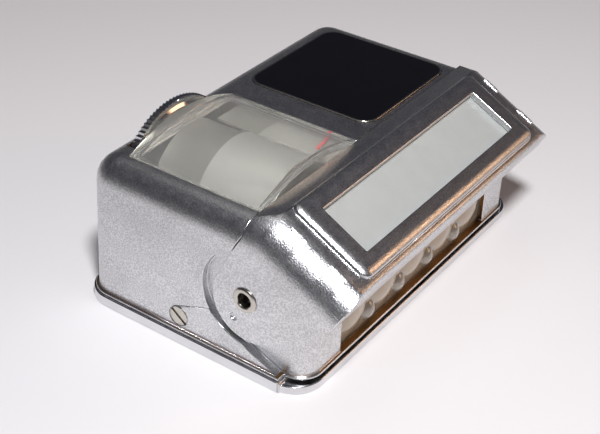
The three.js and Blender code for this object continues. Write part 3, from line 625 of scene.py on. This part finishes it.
# ---------------------------------------------------------------- stage
class METER_OT_stage(bpy.types.Operator):
    """Makes the paper floor, the lamps, the room and the camera"""

    bl_idname = "meter.stage"
    bl_label = "Stage"

    def execute(self, context):
        props = context.scene.meter_stage
        self.floor(props)
        self.room(context.scene, props)
        for name, place, width, power, colour in LAMPS:
            self.lamp(name, place, width, getattr(props, power), colour)
        self.camera(context.scene, props)
        context.scene.view_settings.view_transform = "Standard"
        return {"FINISHED"}

    def floor(self, props):
        bm = bmesh.new()
        bmesh.ops.create_circle(bm, cap_ends=True, segments=64, radius=props.floor_reach)
        floor = bpy.data.objects.new("paper_floor", to_mesh(bm, "paper_floor"))
        floor.data.materials.append(self.paper(props))
        bpy.context.scene.collection.objects.link(floor)

    def paper(self, props):
        material, tree, place = new_material("matt paper")
        fibre = noise(tree, place, 0.6, 3.0, 0.6)
        relief = {"Height": fibre, "Distance": 0.01 * MM, "Strength": 0.5}
        normal = put(tree, "ShaderNodeBump", relief).outputs[0]
        sheet = {"Base Color": linear(props.floor_colour), "Roughness": 0.8, "Normal": normal}
        sheet["Specular IOR Level"] = 0.2
        finish_with(tree, put(tree, "ShaderNodeBsdfPrincipled", sheet))
        return material

    def room(self, scene, props):
        world = bpy.data.worlds.new("dim room")
        world.use_nodes = True
        tree = world.node_tree
        way = put(tree, "ShaderNodeTexCoord").outputs["Generated"]
        parts = put(tree, "ShaderNodeSeparateXYZ", {0: way})
        share = ranged(tree, parts.outputs["Z"], 0.0, WALL_TOP, 1.0, 0.0)
        colour = blended(tree, share, linear(props.room_colour), linear(props.wall_colour))
        tree.links.new(colour, tree.nodes["Background"].inputs["Color"])
        scene.world = world

    def lamp(self, name, place, width, power, colour):
        light = bpy.data.lights.new(name, "AREA")
        light.shape = "DISK"
        light.size = width
        light.energy = power
        light.color = linear(colour)[:3]
        lamp = bpy.data.objects.new(name, light)
        lamp.location = place
        middle = (cad_box[0] + cad_box[1]) / 2
        lamp.rotation_euler = (middle - Vector(place)).to_track_quat("-Z", "Y").to_euler()
        bpy.context.scene.collection.objects.link(lamp)

    def camera(self, scene, props):
        lens = bpy.data.cameras.new("camera")
        lens.sensor_width = SENSOR_MM
        lens.lens = props.focal_mm
        lens.clip_start = 0.01
        lens.clip_end = 10.0
        turn = props.azimuth
        rise = props.elevation
        back = Vector(
            (math.sin(turn) * math.cos(rise), -math.cos(turn) * math.cos(rise), math.sin(rise))
        )
        camera = bpy.data.objects.new("camera", lens)
        level = back.to_track_quat("Z", "Y").to_matrix().to_4x4()
        camera.matrix_world = (
            Matrix.Translation(props.camera_place) @ level @ Matrix.Rotation(props.roll, 4, "Z")
        )
        scene.collection.objects.link(camera)
        scene.camera = camera


# ---------------------------------------------------------------- case
class METER_OT_case(bpy.types.Operator):
    """Finishes the case pressing: satin outside, rubbed edges, brass inside whose orange is partly a
    painted glint
    """

    bl_idname = "meter.case"
    bl_label = "Case"

    def execute(self, context):
        props = context.scene.meter_finish
        bm = merged_copy("top_housing")
        low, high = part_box("top_housing")
        for face in bm.faces:
            if self.is_inner(face, low, high):
                face.material_index = 2
        mesh = to_mesh(bm, "case_pressing")
        # the inner faces get the brass colour, which also paints in warm glints on the inner edges
        finishes = (satin_chrome(), rubbed_chrome(), brass_and_painted_glint())
        piece = shown_piece(mesh, "case_pressing", "case", "satin_chrome", finishes, "top_housing")
        round_edges(piece, props.case_edge, 2, 1)
        return {"FINISHED"}

    def is_inner(self, face, low, high):
        """True for a face of the pressing's inner side, which looks back at the middle."""
        middle = face.calc_center_median()
        centre = (low + high) / 2
        centre.z = high.z * 0.5
        near = SHEET * 0.5
        side = near if abs(face.normal.x) > 0.5 else SHEET * DEEP_SHEETS
        clear = (
            low.x + side < middle.x < high.x - side
            and low.y + near < middle.y < high.y - near
            and middle.z < high.z - near
        )
        return clear and face.normal.dot(centre - middle) > 0


class METER_OT_base(bpy.types.Operator):
    """Finishes the base tray with its bright rim"""

    bl_idname = "meter.base"
    bl_label = "Base tray"

    def execute(self, context):
        props = context.scene.meter_finish
        finishes = (bright_chrome(), rubbed_chrome())
        finished_node("base_tray", "base_tray_bright", "bright_chrome", finishes, props.case_edge, 3)
        return {"FINISHED"}


class METER_OT_flap(bpy.types.Operator):
    """Finishes the diffuser flap, its opal pane and the frame that holds it"""

    bl_idname = "meter.flap"
    bl_label = "Diffuser flap"

    def execute(self, context):
        props = context.scene.meter_finish
        finishes = (satin_chrome(), rubbed_chrome())
        bm = merged_copy("diffuser_flap")
        self.mark_edges(bm)
        mesh = to_mesh(bm, "flap_pressing")
        piece = shown_piece(mesh, "flap_pressing", "flap", "satin_chrome", finishes, "diffuser_flap")
        round_edges(piece, props.case_edge, 2, 1, "WEIGHT")
        finished_node("opal_pane", "opal_diffuser", "opal_glass", (opal_acrylic(),), SOFT_EDGE, 3)
        finished_node("pane_retainer", "pane_frame", "nickel", (turned_nickel(),), props.small_edge)
        return {"FINISHED"}

    def mark_edges(self, bm):
        """Marks how far to round each sharp edge. The low steps of the grip pads get a finer edge,
        and none where they fade out."""
        weight = bm.edges.layers.float.new("bevel_weight_edge")
        for edge in bm.edges:
            sideways = max(abs(vert.co.x) for vert in edge.verts)
            nearest = min(abs(vert.co.x) for vert in edge.verts)
            share = 1.0
            if PAD_INNER_X < nearest and sideways < PAD_OUTER_X:
                share = PAD_EDGE_SHARE if sideways < PAD_FADE_X else 0.0
            sharp = edge.calc_face_angle(0.0) > math.radians(CREASE_DEG)
            edge[weight] = share if sharp else 0.0


class METER_OT_window(bpy.types.Operator):
    """Finishes the clear window over the scale"""

    bl_idname = "meter.window"
    bl_label = "Scale window"

    def execute(self, context):
        finishes = (clear_acrylic(),)
        finished_node("window_dome", "scale_window", "clear_acrylic", finishes, SOFT_EDGE, 3)
        return {"FINISHED"}


class METER_OT_nameplate(bpy.types.Operator):
    """Finishes the plain black nameplate with its bare rim"""

    bl_idname = "meter.nameplate"
    bl_label = "Nameplate"

    def execute(self, context):
        props = context.scene.meter_finish
        bm = merged_copy("nameplate")
        top = max(bm.faces, key=lambda face: (round(face.normal.z, 3), face.calc_area()))
        bmesh.ops.inset_region(bm, faces=[top], thickness=props.plate_rim, depth=0.0)
        for face in bm.faces:
            if face is not top:
                face.material_index = 1
        mesh = to_mesh(bm, "nameplate_lacquered")
        finishes = (black_lacquer(), turned_nickel())
        piece = shown_piece(
            mesh, "nameplate_lacquered", "case", "black_lacquer", finishes, "nameplate"
        )
        round_edges(piece, props.small_edge)
        return {"FINISHED"}


class METER_OT_drum(bpy.types.Operator):
    """Finishes the scale drum, its shaft, clip, bracket and friction spring"""

    bl_idname = "meter.drum"
    bl_label = "Scale drum"

    def execute(self, context):
        props = context.scene.meter_finish
        edge = props.small_edge
        steel = turned_steel()
        finished_node("scale_drum", "drum_with_card", "scale_paper", (scale_card(),), edge)
        finished_node("scale_plate", "fixed_scale_plate", "scale_paper", (grey_card(),), edge)
        finished_node("drum_shaft", "drum_shaft_turned", "steel", (steel,), edge)
        finished_node("shaft_clip", "shaft_clip_sprung", "steel", (steel,), edge)
        finished_node("drum_bracket", "drum_bracket_bent", "brass", (stamped_brass(),), edge)
        finished_node(
            "drum_friction_spring", "friction_spring_bent", "bronze", (phosphor_bronze(),), edge / 2
        )
        return {"FINISHED"}


class METER_OT_wheel(bpy.types.Operator):
    """Finishes the knurled setting wheel"""

    bl_idname = "meter.wheel"
    bl_label = "Setting wheel"

    def execute(self, context):
        finishes = (bright_chrome(),)
        finished_node("setting_wheel", "wheel_knurled", "bright_chrome", finishes, KNURL_EDGE)
        return {"FINISHED"}


class METER_OT_lens(bpy.types.Operator):
    """Finishes the honeycomb lens, the light cell behind it, and their carrier and contacts"""

    bl_idname = "meter.lens"
    bl_label = "Honeycomb lens"

    def execute(self, context):
        props = context.scene.meter_finish
        edge = props.small_edge
        self.lens()
        finished_node("selenium_cell", "cell_plate", "selenium", (selenium(),), edge)
        finished_node("cell_carrier", "cell_frame", "phenolic", (phenolic(),), edge)
        bronze = phosphor_bronze()
        for side in ("left", "right"):
            node = f"cell_contact_{side}"
            finished_node(node, f"contact_strip_{side}", "bronze", (bronze,), edge / 2)
        return {"FINISHED"}

    def lens(self):
        bm = merged_copy("honeycomb_lens")
        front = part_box("honeycomb_lens")[0].y
        for face in bm.faces:
            # the bead faces get the paler resin, a painted highlight
            if self.is_bead(face, front):
                face.material_index = 1
        mesh = to_mesh(bm, "lens_cells")
        resins = (amber_resin(), bead_painted_glint())
        return shown_piece(mesh, "lens_cells", "case", "amber_resin", resins, "honeycomb_lens")

    def is_bead(self, face, front):
        """True for a face of one of the four small beads between the lower cells."""
        middle = face.calc_center_median()
        nearest = (round(middle.x / BEAD_PITCH - 0.5) + 0.5) * BEAD_PITCH
        clear = middle.y < front + BEAD_DEPTH and abs(nearest) < 2 * BEAD_PITCH
        return clear and math.hypot(middle.x - nearest, middle.z - BEAD_Z) < BEAD_RADIUS


class METER_OT_fasteners(bpy.types.Operator):
    """Finishes the side screws, the hinge rivets and their spring washers"""

    bl_idname = "meter.fasteners"
    bl_label = "Screws and rivets"

    def execute(self, context):
        edge = context.scene.meter_finish.small_edge
        nickel = turned_nickel()
        steel = turned_steel()
        for side in ("left", "right"):
            finished_node(f"side_screw_{side}", f"slotted_screw_{side}", "nickel", (nickel,), edge)
            finished_node(f"hinge_rivet_{side}", f"hollow_rivet_{side}", "nickel", (nickel,), edge)
            node = f"hinge_spring_washer_{side}"
            finished_node(node, f"spring_washer_{side}", "steel", (steel,), edge / 2)
        return {"FINISHED"}


MOVEMENT_FINISHES = {
    "brass": stamped_brass,
    "bronze": phosphor_bronze,
    "steel": turned_steel,
    "nickel": turned_nickel,
    "alnico": cast_magnet,
    "soft_iron": soft_iron,
    "copper": enamelled_copper,
    "red_lacquer": red_lacquer,
}
WIRE_SLEEVES = {"red_sleeve": "8f2a22", "black_sleeve": "2b2f36"}


class METER_OT_movement(bpy.types.Operator):
    """Finishes the moving coil movement and its wiring: every node that is still as packed"""

    bl_idname = "meter.movement"
    bl_label = "Movement"

    def execute(self, context):
        edge = context.scene.meter_finish.small_edge
        finishes = {slot_name: make() for slot_name, make in MOVEMENT_FINISHES.items()}
        for slot_name, colour in WIRE_SLEEVES.items():
            finishes[slot_name] = sleeve(f"cotton {slot_name.replace('_', ' ')}", colour)
        for node, packed in frame["nodes"].items():
            if packed.hide_render:
                continue
            slot_name = record_slot(node)
            thin = node.startswith(("hairspring", "lead_wire", "pivot"))
            finished_node(
                node, f"{node}_finished", slot_name, (finishes[slot_name],), 0 if thin else edge
            )
        return {"FINISHED"}


# ---------------------------------------------------------------- panel and registration
OPERATORS = (
    METER_OT_stage,
    METER_OT_case,
    METER_OT_base,
    METER_OT_flap,
    METER_OT_window,
    METER_OT_nameplate,
    METER_OT_drum,
    METER_OT_wheel,
    METER_OT_lens,
    METER_OT_fasteners,
    METER_OT_movement,
)


class METER_PT_panel(bpy.types.Panel):
    """Lists the steps that finish the meter"""

    bl_label = "Exposure meter"
    bl_idname = "METER_PT_panel"
    bl_space_type = "VIEW_3D"
    bl_region_type = "UI"
    bl_category = "Meter"

    def draw(self, context):
        for group in (context.scene.meter_stage, context.scene.meter_finish):
            for key in group.__annotations__:
                self.layout.prop(group, key)
        for operator in OPERATORS:
            self.layout.operator(operator.bl_idname)


CLASSES = (MeterStage, MeterFinish, *OPERATORS, METER_PT_panel)


def register():
    for cls in CLASSES:
        bpy.utils.register_class(cls)
    bpy.types.Scene.meter_stage = bpy.props.PointerProperty(type=MeterStage)
    bpy.types.Scene.meter_finish = bpy.props.PointerProperty(type=MeterFinish)


def unregister():
    del bpy.types.Scene.meter_finish
    del bpy.types.Scene.meter_stage
    for cls in reversed(CLASSES):
        bpy.utils.unregister_class(cls)


def main():
    register()
    bpy.ops.meter.stage()
    bpy.ops.meter.case()
    bpy.ops.meter.base()
    bpy.ops.meter.flap()
    bpy.ops.meter.window()
    bpy.ops.meter.nameplate()
    bpy.ops.meter.drum()
    bpy.ops.meter.wheel()
    bpy.ops.meter.lens()
    bpy.ops.meter.fasteners()
    bpy.ops.meter.movement()


if __name__ == "__main__":
    main()
